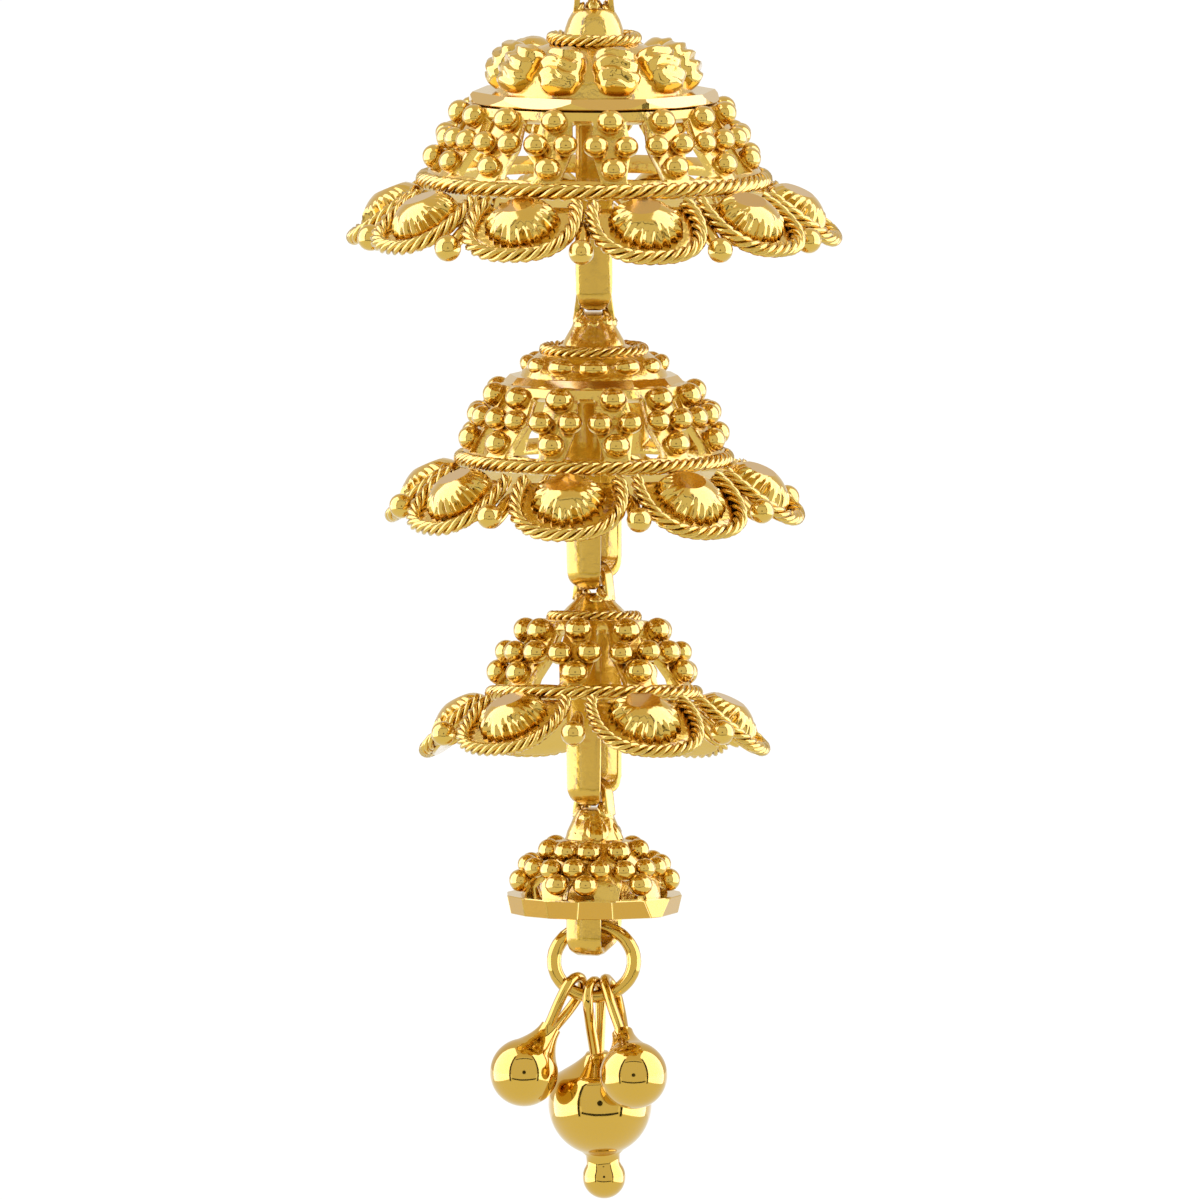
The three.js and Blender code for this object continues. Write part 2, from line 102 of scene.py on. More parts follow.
# Heights are below a dome's hanging point; "first" is an angle from the front, in degrees, to the right;
# "tipped" is how far a dome leans back, in degrees; "deep" is how far a flange or a band reaches inwards,
# and "bite" how far its flats are cut in.
DOMES = {
    "top_dome": {
        "body": "top", "seed": 11, "eye_turn": 0, "strap_turn": 0, "strap_foot": 14.09,
        "lumps": {"count": 4, "radius": 0.22, "height": 0.74, "size": 0.26},
        "neck": [(0.62, 0.84), (0.84, 0.9), (1.0, 1.1), (1.16, 1.38), (1.29, 1.75), (1.38, 2.1), (1.4, 2.32)],
        "collar": {"radius": 1.88, "height": 2.22, "wire": 0.29},
        "shoulder": [(3.0, 2.75), (3.75, 3.3), (4.3, 4.1), (4.5, 4.78)],
        "flange": {"radius": 5.62, "top": 4.58, "bottom": 5.06, "deep": 1.4, "cuts": 10, "slant": 38,
                   "bite": 0.2},
        "clusters": {"count": 15, "first": 7, "granule": 0.53},
        "rows": [(6.0, 5.55), (6.65, 6.58), (7.15, 7.58)],
        "rim": {"radius": 7.65, "height": 8.57, "wire": 0.39},
        "petals": {"count": 10, "first": 14.8, "root": (7.5, 8.85),
                   "half_width": 2.82, "reach": 4.08, "slope": 37, "wire": 0.36},
        "beads": {"radius": 0.6, "from_axis": 10.4, "proud": 0.0},
        "cushions": {"count": 10, "first": 14.8, "half_width": 1.05, "half_length": 1.2, "rise": 0.9,
                     "ridges": 4.2, "swell": 0.14},
    },
    "second_dome": {
        "body": "second", "seed": 23, "eye_turn": 0, "strap_turn": STRAP_TURN, "strap_foot": 12.6,
        "neck": [(0.5, 0.5), (0.78, 0.6), (0.9, 0.85), (1.0, 1.15), (1.2, 1.5), (1.34, 1.75), (1.42, 1.95)],
        "collar": {"radius": 2.2, "height": 2.18, "wire": 0.29},
        "shoulder": [(2.5, 2.35), (3.1, 2.75), (3.35, 3.4)],
        "flange": {"radius": 4.05, "top": 3.32, "bottom": 3.72, "deep": 1.4, "cuts": 12, "slant": 42,
                   "bite": 0.2},
        "clusters": {"count": 12, "first": 10.5, "granule": 0.54},
        "rows": [(4.55, 4.1), (5.25, 5.07), (5.7, 6.08)],
        "rim": {"radius": 5.98, "height": 7.06, "wire": 0.35},
        "petals": {"count": 8, "first": -9.3, "root": (5.9, 7.25),
                   "half_width": 2.8, "reach": 4.1, "slope": 38, "wire": 0.34},
        "beads": {"radius": 0.58, "from_axis": 8.65, "proud": 0.4},
        "necklace": {"count": 12, "first": 0, "radius": 2.98, "height": 2.84, "granule": 0.46},
    },
    "third_dome": {
        "body": "third", "seed": 37, "eye_turn": LINK_TURN, "strap_turn": STRAP_TURN, "strap_foot": 9.77,
        "tipped": 5.5,
        "neck": [(0.48, 0.58), (0.64, 0.66), (0.8, 0.82), (0.98, 1.0), (1.2, 1.2), (1.4, 1.42)],
        "collar": {"radius": 1.88, "height": 1.66, "wire": 0.29},
        "shoulder": [(2.2, 1.8)],
        "clusters": {"count": 9, "first": 27.6, "granule": 0.55},
        "rows": [(3.06, 2.27), (3.96, 3.26), (4.28, 4.16)],
        "rim": {"radius": 4.58, "height": 5.08, "wire": 0.35},
        "petals": {"count": 6, "first": 22.5, "root": (4.5, 5.1),
                   "half_width": 2.8, "reach": 4.03, "slope": 41, "wire": 0.32},
        "beads": {"radius": 0.58, "from_axis": 7.0, "proud": 0.5},
    },
    "small_dome": {
        "body": "small", "seed": 51, "eye_turn": LINK_TURN, "strap_turn": STRAP_TURN, "strap_foot": 6.77,
        "strap_narrowed": 0.88, "lumps": {"count": 7, "radius": 0.97, "height": 1.55, "size": 0.4},
        "neck": [(0.48, 0.52), (0.74, 0.6), (0.9, 0.88), (1.04, 1.21), (1.2, 1.55), (1.3, 1.9)],
        "shoulder": [(1.42, 1.98)],
        "clusters": {"count": 8, "first": 10, "granule": 0.5},
        "rows": [(2.07, 2.4), (2.97, 3.1), (3.4, 3.76)],
        "row_angles": [
            (-77, -36, -8, 31, 78, 122, 168, -122), [22.5 * k - 18 for k in range(16)],
            (-76, -29, -7, 39, 84, 129, 174, -121),
        ],
        "band": {"radius": 3.92, "top": 4.4, "bottom": 5.24, "deep": 0.7, "cuts": 16, "first": 1.5,
                 "slant": -14, "bite": 0.02, "raised": 2},
    },
}
# Each drop hangs on the ring at "on", to the right of its middle; "ball" is where its ball's centre is.
RING = {"half_width": 1.8, "half_height": 1.6, "wire": 0.33}
LOOP = {"wire": 0.24, "half": 0.7, "foot": 0.2, "turn": -25}
DROPS = {
    "left_ball_drop": {"on": -0.95, "ball": (-3.15, -1.0, -12.4), "radius": 1.54, "cone": 0.85},
    "centre_ball_drop": {
        "on": 0.0, "ball": (0.27, 0.6, -13.97), "radius": 2.34, "cone": 0.05,
        "bead": {"radius": 0.97, "below": 3.4, "stem": 0.78},
    },
    "right_ball_drop": {"on": 0.8, "ball": (1.78, -2.95, -12.33), "radius": 1.53, "cone": 0.85},
}
HOOK = {"wire": 0.4, "ring": 1.3, "drop": 16, "bend": 4.2, "rear": 11.5, "flare": 1.2}


# ---- what a user can change
class JhumkaSizes(bpy.types.PropertyGroup):
    """How finely the goldwork is made."""

    wire_pitch: FloatProperty(
        name="Twist",
        description="Length of one full turn of a twisted wire, in wire diameters",
        default=2.9, min=1.0, max=6.0,
    )
    unevenness: FloatProperty(
        name="Handwork",
        description="How far a granule sits from its exact place, in millimetres",
        default=0.045, min=0.0, max=0.2,
    )
    flutes: IntProperty(
        name="Flutes",
        description="Ridges round each petal's boss",
        default=23, min=8, max=48,
    )


def colour_field(name, description, default):
    """A colour that the user can change."""
    return FloatVectorProperty(
        name=name, description=description, subtype="COLOR", size=3, default=default, min=0.0, max=1.0,
    )


class JhumkaColours(bpy.types.PropertyGroup):
    """The golds of the earring and the tone of the studio's floor."""

    polished: colour_field("Polished gold", "Colour of the polished gold", (0.75, 0.5, 0.078))
    # Painted shade: this darker gold is blended in where ambient occlusion finds crevices and gaps between
    # parts
    painted_shade: colour_field(
        "Gold in crevices", "Colour of the gold deep between the granules", (0.52, 0.27, 0.02)
    )
    # Partly painted highlight: the flange's flats are real bright cuts, and this paler, whiter copy of the
    # gold paints their shine
    cut: colour_field("Bright-cut gold", "Colour of the flats cut with a diamond tool", (0.78, 0.52, 0.14))
    burnished: colour_field(
        "Burnished gold", "Deeper colour of the straps, wires and balls", (0.7, 0.44, 0.048)
    )
    # Painted shade: a darker, redder copy of the gold that darkens the smallest dome's flats and the bosses'
    # slices
    deep: colour_field(
        "Deep gold", "Redder colour of the smallest dome's flats and of the slices on the bosses",
        (0.68, 0.385, 0.038),
    )
    floor: colour_field("Floor", "Colour of the studio's floor", (1.0, 1.0, 1.0))


# ---- modelling helpers
def only(*things):
    """Selects these objects alone, the first as the active one."""
    bpy.ops.object.select_all(action="DESELECT")
    for thing in things:
        thing.select_set(True)
    bpy.context.view_layer.objects.active = things[0]


def active():
    return bpy.context.view_layer.objects.active


@contextmanager
def editing(thing):
    """Edit mode on one object; gives its mesh, and updates it at the end."""
    only(thing)
    bpy.ops.object.mode_set(mode="EDIT")
    bpy.ops.mesh.select_mode(type="VERT")
    yield bmesh.from_edit_mesh(thing.data)
    bmesh.update_edit_mesh(thing.data)
    bpy.ops.object.mode_set(mode="OBJECT")


def pick(thing, mesh, wanted, kind="verts"):
    """Selects the vertices or faces for which wanted(element) is true."""
    bpy.ops.mesh.select_mode(type="FACE" if kind == "faces" else "VERT")
    bpy.ops.mesh.select_all(action="DESELECT")
    for element in getattr(mesh, kind):
        if wanted(element):
            element.select_set(True)
    mesh.select_flush(True)
    bmesh.update_edit_mesh(thing.data)


def select_whole():
    bpy.ops.mesh.select_all(action="SELECT")


def face_outwards():
    """Turns every normal of the mesh in edit mode outwards."""
    select_whole()
    bpy.ops.mesh.normals_make_consistent(inside=False)


def extrude(offset):
    bpy.ops.mesh.extrude_region_move(TRANSFORM_OT_translate={"value": offset})


def delete(thing):
    only(thing)
    bpy.ops.object.delete()


def apply_place(thing):
    """Moves an object's place, turn and scale into its mesh."""
    only(thing)
    bpy.ops.object.transform_apply(location=True, rotation=True, scale=True)


def modified(thing, kind, **settings):
    """Adds a modifier and applies it."""
    only(thing)
    bpy.ops.object.modifier_add(type=kind)
    modifier = thing.modifiers[-1]
    for setting, value in settings.items():
        setattr(modifier, setting, value)
    bpy.ops.object.modifier_apply(modifier=modifier.name)
    return thing


def rounded(thing, width, angle):
    """Rounds the edges that are sharper than the angle."""
    return modified(
        thing, "BEVEL", width=width, segments=2, limit_method="ANGLE", angle_limit=radians(angle)
    )


def clamped(value):
    return min(1.0, max(0.0, value))


def swollen(value, power):
    """A power of the value's size, with the value's sign."""
    return copysign(abs(value) ** power, value)


def named(name):
    thing = active()
    thing.name = name
    thing.data.name = name
    return thing


def new_sphere(name, segments, rings):
    """A unit ball, to be shaped or placed."""
    bpy.ops.object.select_all(action="DESELECT")
    bpy.ops.mesh.primitive_uv_sphere_add(segments=segments, ring_count=rings, radius=1)
    return named(name)


def chain(name, points, closed=False):
    """A line of edges through the points, extruded one point after another."""
    points = [Vector(point) for point in points]
    bpy.ops.object.select_all(action="DESELECT")
    bpy.ops.mesh.primitive_plane_add(size=1, location=points[0])
    thing = named(name)
    apply_place(thing)
    with editing(thing):
        select_whole()
        bpy.ops.mesh.merge(type="CENTER")
        for start, end in zip(points, points[1:] + points[:1] * closed):
            extrude(end - start)
        select_whole()
        bpy.ops.mesh.remove_doubles(threshold=1e-4)
    return thing


def spun(name, outline, steps):
    """A closed outline of (radius, height below) points, spun round the Z axis."""
    thing = chain(name, [(radius, 0, -height) for radius, height in outline], closed=True)
    with editing(thing):
        select_whole()
        bpy.ops.mesh.spin(steps=steps, angle=TURN, center=(0, 0, 0), axis=(0, 0, 1))
        select_whole()
        bpy.ops.mesh.remove_doubles(threshold=1e-3)
        bpy.ops.mesh.dissolve_degenerate(threshold=1e-4)
        face_outwards()
    return thing


def joined(name, things):
    """One object of several, with their materials kept."""
    only(*things)
    if len(things) > 1:
        bpy.ops.object.join()
    return named(name)


def copies(thing, places):
    """The object, copied once for each matrix, with each copy's place in its own mesh."""
    made = []
    for place in places:
        only(thing)
        bpy.ops.object.duplicate()
        twin = active()
        twin.matrix_world = place
        apply_place(twin)
        made.append(twin)
    delete(thing)
    return made


def softened(thing, angle=40):
    only(thing)
    bpy.ops.object.shade_smooth_by_angle(angle=radians(angle))
    return thing


def jostled(thing, distance, seed):
    """Shifts every vertex a little along its normal, as solder and handwork leave it."""
    with editing(thing):
        select_whole()
        bpy.ops.transform.vertex_random(offset=distance, uniform=0.0, normal=1.0, seed=seed)
    return thing


def outwards(turn):
    """The level direction out of the dome at a turn from the front, in radians."""
    return Vector((sin(turn), -cos(turn), 0))


def seat(angle, radius, height, slope=0.0):
    """A frame on a dome: X to the right along its girth, Y up its slope, Z out of its surface."""
    turn, tilt = radians(angle), radians(slope)
    across = Vector((cos(turn), sin(turn), 0))
    out = outwards(turn)
    up = Vector((-out.x * cos(tilt), -out.y * cos(tilt), sin(tilt)))
    normal = across.cross(up)
    place = Matrix((across, up, normal)).transposed().to_4x4()
    place.translation = Vector((out.x * radius, out.y * radius, -height))
    return place


def spaced(spec, offset=0):
    """The angles of equal steps round the dome, from the first one plus a share of a step."""
    return [spec["first"] + (k + offset) * 360 / spec["count"] for k in range(spec["count"])]


def slope_between(upper, lower):
    """Degrees below level from one (radius, height) point to another further down."""
    return degrees(atan2(lower[1] - upper[1], lower[0] - upper[0]))


def arc(centre, radius, start, end, steps):
    """Points on an arc, as (across, up) pairs, angles in degrees."""
    spread = [radians(start + (end - start) * k / steps) for k in range(steps + 1)]
    return [(centre[0] + radius * cos(a), centre[1] + radius * sin(a)) for a in spread]


def length_of(points, closed=False):
    points = [Vector(point) for point in points]
    return sum((b - a).length for a, b in zip(points, points[1:] + points[:1] * closed))


def as_curve(name, points, closed=False):
    thing = chain(name, points, closed)
    only(thing)
    bpy.ops.object.convert(target="CURVE")
    return active()


def round_wire(name, points, radius, sides=3, closed=False):
    """A plain round wire along the points, its ends closed."""
    curve = as_curve(name, points, closed)
    curve.data.bevel_depth = radius
    curve.data.bevel_resolution = sides
    curve.data.use_fill_caps = not closed
    only(curve)
    bpy.ops.object.convert(target="MESH")
    return softened(named(name), 60)


def twisted_wire(name, points, radius, closed=False):
    """Four strands twisted together and laid along the points."""
    pitch = bpy.context.scene.jhumka_sizes.wire_pitch * 2 * radius
    length = length_of(points, closed)
    turns = max(1, round(length / pitch))
    strands, strand = 4, 0.43 * radius
    places = [
        (0, (radius - strand) * cos(TURN * k / strands), (radius - strand) * sin(TURN * k / strands))
        for k in range(strands)
    ]
    upright = (0, pi / 2, 0)
    bpy.ops.object.select_all(action="DESELECT")
    bpy.ops.mesh.primitive_circle_add(vertices=6, radius=strand, location=places[0], rotation=upright)
    thing = named(name)
    apply_place(thing)
    with editing(thing):
        for place in places[1:]:
            bpy.ops.mesh.primitive_circle_add(vertices=6, radius=strand, location=place, rotation=upright)
    modified(
        thing, "SCREW", axis="X", angle=-TURN, screw_offset=length / turns, iterations=turns,
        steps=16, render_steps=16, use_normal_calculate=True,
    )
    with editing(thing):
        if not closed:
            select_whole()
            bpy.ops.mesh.fill_holes(sides=0)
        face_outwards()
    route = as_curve(name + "_route", points, closed)
    modified(thing, "CURVE", object=route, deform_axis="POS_X")
    if closed:
        with editing(thing):
            select_whole()
            bpy.ops.mesh.remove_doubles(threshold=0.02)
            face_outwards()
    delete(route)
    return softened(thing, 75)


def rope_ring(name, ring):
    radius, steps = ring["radius"], 120
    circle = [
        (radius * cos(TURN * k / steps), radius * sin(TURN * k / steps), -ring["height"])
        for k in range(steps)
    ]
    return twisted_wire(name, circle, ring["wire"], closed=True)


def ribbon(name, points, width, thickness, dish=0.0):
    """Strip bent along points in the XZ plane, its edges rounded and its face dished between them."""
    border = 0.18 * width
    thing = chain(name, [(across, -width / 2, up) for across, up in points])
    with editing(thing):
        select_whole()
        for step in (border, width - 2 * border, border):
            extrude((0, step, 0))
        face_outwards()
        if dish:
            mesh = bmesh.from_edit_mesh(thing.data)
            pick(thing, mesh, lambda v: abs(v.co.y) < width / 2 - 0.5 * border)
            bpy.ops.transform.shrink_fatten(value=dish)
            select_whole()
    modified(thing, "SOLIDIFY", thickness=thickness, offset=0, use_even_offset=True)
    return softened(rounded(thing, 0.22 * thickness, 50), 50)


def turned_about_z(thing, angle):
    thing.rotation_euler.z = radians(angle)
    apply_place(thing)
    return thing


# ---- materials
class Tone:
    """A shader value whose sums and products add Math nodes."""

    def __init__(self, recipe, socket):
        self.recipe, self.socket = recipe, socket

    def _maths(self, operation, first, second):
        return self.recipe.node("ShaderNodeMath", {"operation": operation}, {0: first, 1: second})

    def __add__(self, other):
        return self._maths("ADD", self, other)

    def __radd__(self, other):
        return self._maths("ADD", other, self)

    def __rmul__(self, other):
        return self._maths("MULTIPLY", other, self)


class Recipe:
    """One material's nodes."""

    def __init__(self, name):
        self.material = bpy.data.materials.new(name)
        self.material.use_nodes = True
        self.tree = self.material.node_tree
        self.surface = self.tree.nodes["Principled BSDF"]

    def node(self, kind, settings, values, output=0):
        """Adds a node: first its settings, then the values or links of its sockets."""
        made = self.tree.nodes.new(kind)
        for setting, value in settings.items():
            if setting == "stops":
                ramp = made.color_ramp.elements
                for element, (place, shade) in zip(ramp, value):
                    element.position, element.color = place, (shade, shade, shade, 1)
            else:
                setattr(made, setting, value)
        for socket, value in values.items():
            self.feed(made.inputs[socket], value)
        return Tone(self, made.outputs[output])

    def feed(self, socket, value):
        if isinstance(value, Tone):
            self.tree.links.new(value.socket, socket)
        else:
            socket.default_value = value

    def set(self, **values):
        for socket, value in values.items():
            self.feed(self.surface.inputs[socket.replace("_", " ").title()], value)

    def blend(self, mask, first, second):
        """A colour between two, by the mask."""
        return self.node(
            "ShaderNodeMix", {"data_type": "RGBA"}, {0: mask, 6: (*first, 1), 7: (*second, 1)}, output=2
        )


def gold(name, bright, rough, grain, relief, crevices):
    """Gold with painted shade, a deeper colour blended in where its crevices are occluded as far as that many
    mm, and with the unevenness of handwork.
    """
    colours = bpy.context.scene.jhumka_colours
    recipe = Recipe(name)
    place = recipe.node("ShaderNodeTexCoord", {}, {}, output=3)
    cloudy = recipe.node("ShaderNodeTexNoise", {}, {"Vector": place, "Scale": 900.0, "Detail": 3.0})
    fine = recipe.node("ShaderNodeTexNoise", {}, {"Vector": place, "Scale": 2600.0, "Detail": 2.0})
    # Painted shade: ambient occlusion blends the base colour towards the painted shade colour in crevices and
    # between parts, and roughens it there a little
    open_sky = recipe.node(
        "ShaderNodeAmbientOcclusion", {"samples": 16}, {"Distance": crevices * MM}, output=1
    )
    painted_shade_mask = recipe.node(
        "ShaderNodeValToRGB", {"stops": [(0.1, 0.6), (0.7, 0.0)]}, {"Fac": open_sky + 0.08 * cloudy}
    )
    recipe.set(
        base_color=recipe.blend(painted_shade_mask, bright, tuple(colours.painted_shade)),
        metallic=1.0,
        roughness=rough + 0.08 * cloudy + 0.1 * painted_shade_mask,
        coat_weight=1.0,
        normal=recipe.node(
            "ShaderNodeBump", {}, {"Strength": grain, "Distance": relief * MM, "Height": fine + 2.0 * cloudy}
        ),
    )
    return recipe.material


def materials():
    """The golds, made once and shared by the pieces."""
    colours = bpy.context.scene.jhumka_colours
    polished, cut, burnished = tuple(colours.polished), tuple(colours.cut), tuple(colours.burnished)
    kinds = {  # colour, roughness, strength and depth (mm) of its grain, reach (mm) of its painted crevice shade
        "worked gold": (polished, 0.09, 0.3, 0.02, 0.55),
        "rough gold": (polished, 0.16, 0.7, 0.05, 0.6),
        "satin gold": (burnished, 0.2, 0.5, 0.04, 1.3),
        "plain gold": (burnished, 0.05, 0.2, 0.02, 1.3),
        "polished gold": (burnished, 0.03, 0.12, 0.012, 0.3),
        # Painted shade: the darker deep gold for the smallest dome's flats and the bosses' slices
        "burnished gold": (tuple(colours.deep), 0.06, 0.12, 0.02, 0.4),
        # Partly painted highlight: the paler copy of the gold on the flange's real bright-cut flats
        "bright-cut gold": (cut, 0.08, 0.1, 0.02, 0.5),
    }
    return {
        kind: bpy.data.materials.get(kind) or gold(kind, *look) for kind, look in kinds.items()
    }


def paint(thing, kind):
    thing.data.materials.clear()
    thing.data.materials.append(materials()[kind])
    return thing


def cut_flat(thing, point, normal):
    """Slices off what lies beyond a plane and leaves a bright-cut face there."""
    normal = Vector(normal).normalized()
    with editing(thing) as mesh:
        select_whole()
        bpy.ops.mesh.bisect(plane_co=point, plane_no=normal, use_fill=True, clear_outer=True)
        mesh = bmesh.from_edit_mesh(thing.data)
        reach = Vector(point).dot(normal)
        bright = len(thing.data.materials) - 1
        for face in mesh.faces:
            flat = all(abs(v.co.dot(normal) - reach) < 1e-3 for v in face.verts)
            if flat and face.normal.dot(normal) > 0.9:
                face.material_index = bright
                face.smooth = False
                for edge in face.edges:
                    edge.smooth = False
    return thing


# ---- the domes' parts
def wall_of(name, dome):
    """The dome's wall: bell, shoulder and side, pierced between the clusters."""
    upper, _, lower = dome["rows"]
    lip = dome.get("rim") or dome["band"]
    top, foot = dome["neck"][0], dome["neck"][-1]
    if "rim" in dome:
        end = (lip["radius"] + 0.1, lip["height"] + 0.8 * lip["wire"])
        edge = [(lip["radius"], lip["height"] - 0.5 * lip["wire"]), end]
    else:
        end = (lip["radius"] - 0.55, lip["bottom"] - 0.1)
        edge = [(lip["radius"] - 0.6, lip["top"]), end]
    set_in = 0.22  # how far the wall lies inside the granules' middles
    upper, lower = [(radius - set_in, height) for radius, height in (upper, lower)]
    outline = [
        (0, top[1]), *dome["neck"], *dome["shoulder"], (upper[0] - 0.13, upper[1] - 0.4),
        upper, lower, *edge, (end[0] - 2 * WALL, end[1]),
        (lower[0] - 0.8 * WALL, lower[1] + 0.8 * WALL), (upper[0] - 1.1 * WALL, upper[1] + 0.3 * WALL),
        (0.8 * foot[0], foot[1] + 1.2 * WALL), (0, foot[1] + 1.2 * WALL),
    ]
    thing = spun(name, outline, 96)
    holes = pierced(name, dome)
    modified(thing, "BOOLEAN", object=holes, operation="DIFFERENCE", solver="EXACT")
    delete(holes)
    return paint(softened(rounded(thing, 0.05, 55), 38), "rough gold")


def pierced(name, dome):
    """The openings' cutters: wide beside the single granules, narrow between the pairs."""
    upper, middle, lower = dome["rows"]
    count, granule = dome["clusters"]["count"], dome["clusters"]["granule"]
    slope = slope_between(upper, lower)
    share = (middle[1] - upper[1]) / (lower[1] - upper[1])
    centre = (upper[0] + share * (lower[0] - upper[0]), middle[1])
    rise = {row: (row[1] - centre[1]) / sin(radians(slope)) for row in (upper, lower)}
    least, least_waist = 0.2, 0.13  # half widths that an opening keeps beside large granules
    half = {
        upper: max(least, pi * upper[0] / count - granule - 0.24),
        lower: max(least, pi * lower[0] / count - granule),
    }
    waist = max(least_waist, pi * middle[0] / count - 2 * granule + 0.08)
    ends = {upper: 0.15 - rise[upper], lower: -0.55 - rise[lower]}
    outline = [
        (half[upper], ends[upper]), (waist, 0), (half[lower], ends[lower]),
        (-half[lower], ends[lower]), (-waist, 0), (-half[upper], ends[upper]),
    ]
    cutter = chain(name + "_cutter", [(x, y, -1.5) for x, y in outline], closed=True)
    with editing(cutter):
        select_whole()
        bpy.ops.mesh.edge_face_add()
        bpy.ops.mesh.bevel(offset=0.12, segments=3, affect="VERTICES")
        select_whole()
        extrude((0, 0, 3))
        face_outwards()
    places = [seat(turn, *centre, slope) for turn in spaced(dome["clusters"], 0.5)]
    return joined(name + "_cutters", copies(cutter, places))


def cluster_spots(dome):
    """Where the granules of the clusters and the necklace sit, each with its half sizes."""
    clusters = dome["clusters"]
    pitch = 360 / clusters["count"]
    slope = slope_between(dome["rows"][0], dome["rows"][-1])
    angles = dome.get("row_angles") or [
        [clusters["first"] + (k + off) * pitch for k in range(clusters["count"]) for off in offsets]
        for offsets in ((0,), (-0.25, 0.25), (0,))
    ]
    spots = []
    for row, turns, share in zip(dome["rows"], angles, ROW_SHARES):
        size = clusters["granule"] * share
        shape = [share * size for share in GRANULE_SHAPE]
        spots += [(seat(turn, *row, slope), shape) for turn in turns]
    if "necklace" in dome:
        row = dome["necklace"]
        size = row["granule"]
        spots += [
            (seat(turn, row["radius"], row["height"], 45), (1.5 * size, 0.9 * size, size))
            for turn in spaced(row)
        ]
    return spots


def bead_spots(dome):
    """The beads between the petals, each with the solder that ties it to the ropes on both sides."""
    bead, petals = dome["beads"], dome["petals"]
    root, height = petals["root"]
    height += (bead["from_axis"] - root) * tan(radians(petals["slope"]))
    size = bead["radius"]
    spots = []
    for turn in spaced(petals, 0.5):
        place = seat(turn, bead["from_axis"], height, petals["slope"])
        spots.append((place @ Matrix.Translation((0, 0, bead["proud"])), (size, size, size)))
        spots.append((place @ Matrix.Translation((0, 1.0, -0.1)), (0.36, 1.2, 0.3)))
    return spots


def granules_of(name, dome):
    """Round granules in clusters of four, a row of them round the shoulder, and the petals' beads."""
    chance = random.Random(dome["seed"])
    loose = bpy.context.scene.jhumka_sizes.unevenness
    made = []
    for place, size in cluster_spots(dome) + (bead_spots(dome) if "beads" in dome else []):
        place = place @ Matrix.Translation([chance.uniform(-loose, loose) for _ in range(3)])
        size = Vector(size) * chance.uniform(0.96, 1.03)
        ball = new_sphere(name + "_ball", 18, 11)
        ball.matrix_world = place @ Matrix.Diagonal((*size, 1))
        made.append(ball)
    thing = joined(name, made)
    apply_place(thing)
    return paint(softened(thing, 80), "worked gold")


def solder_of(name, dome):
    """Lumps of solder round the foot of the eye."""
    chance = random.Random(dome["seed"] + 7)
    top = dome["neck"][1][1]
    low_ring = {"count": 8, "radius": 0.68, "height": top + 0.37, "size": 0.32}
    rings = [low_ring] + ([dome["lumps"]] if "lumps" in dome else [])
    spots = [
        (ring, 90 + (k + chance.uniform(-0.2, 0.2)) * 360 / ring["count"])
        for ring in rings for k in range(ring["count"])
    ]
    beside_eye = {"radius": 0.72, "height": top + 0.06, "size": 0.27}
    spots += [(beside_eye, side + lean) for side in (90, -90) for lean in (-24, 20)]
    made = []
    for ring, turn in spots:
        radius = ring["radius"] + chance.uniform(-0.06, 0.06)
        place = seat(dome["eye_turn"] + turn, radius, ring["height"] + chance.uniform(-0.1, 0.1), 60)
        lump = new_sphere(name + "_lump", 14, 9)
        size = ring["size"] * chance.uniform(0.85, 1.15)
        tall = 1.0 if ring is low_ring else 1.5
        lump.matrix_world = place @ Matrix.Diagonal((1.15 * size, tall * size, 0.85 * size / tall, 1))
        made.append(lump)
    thing = joined(name, made)
    apply_place(thing)
    return paint(softened(jostled(thing, 0.03, dome["seed"]), 60), "worked gold")


def cushions_of(name, dome):
    """Small square-shouldered bosses with wavy ridges across them, round the top dome's cap."""
    spec = dome["cushions"]
    thing = new_sphere(name, 32, 26)
    with editing(thing) as mesh:
        for vertex in mesh.verts:
            x, y, z = vertex.co
            square = (abs(x) ** 3 + abs(y) ** 3) ** (1 / 3) / max(1e-6, hypot(x, y))
            vertex.co.x, vertex.co.y = x / max(0.8, square), y / max(0.8, square)
            swell = spec["swell"] * sin(spec["ridges"] * pi * (y + 0.12 * sin(3 * x)))
            vertex.co.z = swollen(z, 0.75) * (1 + swell)
            vertex.co.x *= 1 + 0.35 * swell
    thing.scale = (spec["half_width"], spec["half_length"], spec["rise"])
    apply_place(thing)
    jostled(thing, 0.006, dome["seed"])
    upper, lower = dome["shoulder"][0], dome["shoulder"][-1]
    radius, height = (upper[0] + lower[0]) / 2 + 0.05, (upper[1] + lower[1]) / 2 - 0.26
    slope = slope_between(upper, lower)
    chance = random.Random(dome["seed"])
    places = [
        seat(turn, radius, height, slope) @ Matrix.Rotation(radians(chance.uniform(-6, 6)), 4, "Z")
        for turn in spaced(spec)
    ]
    return paint(softened(joined(name, copies(thing, places)), 60), "worked gold")


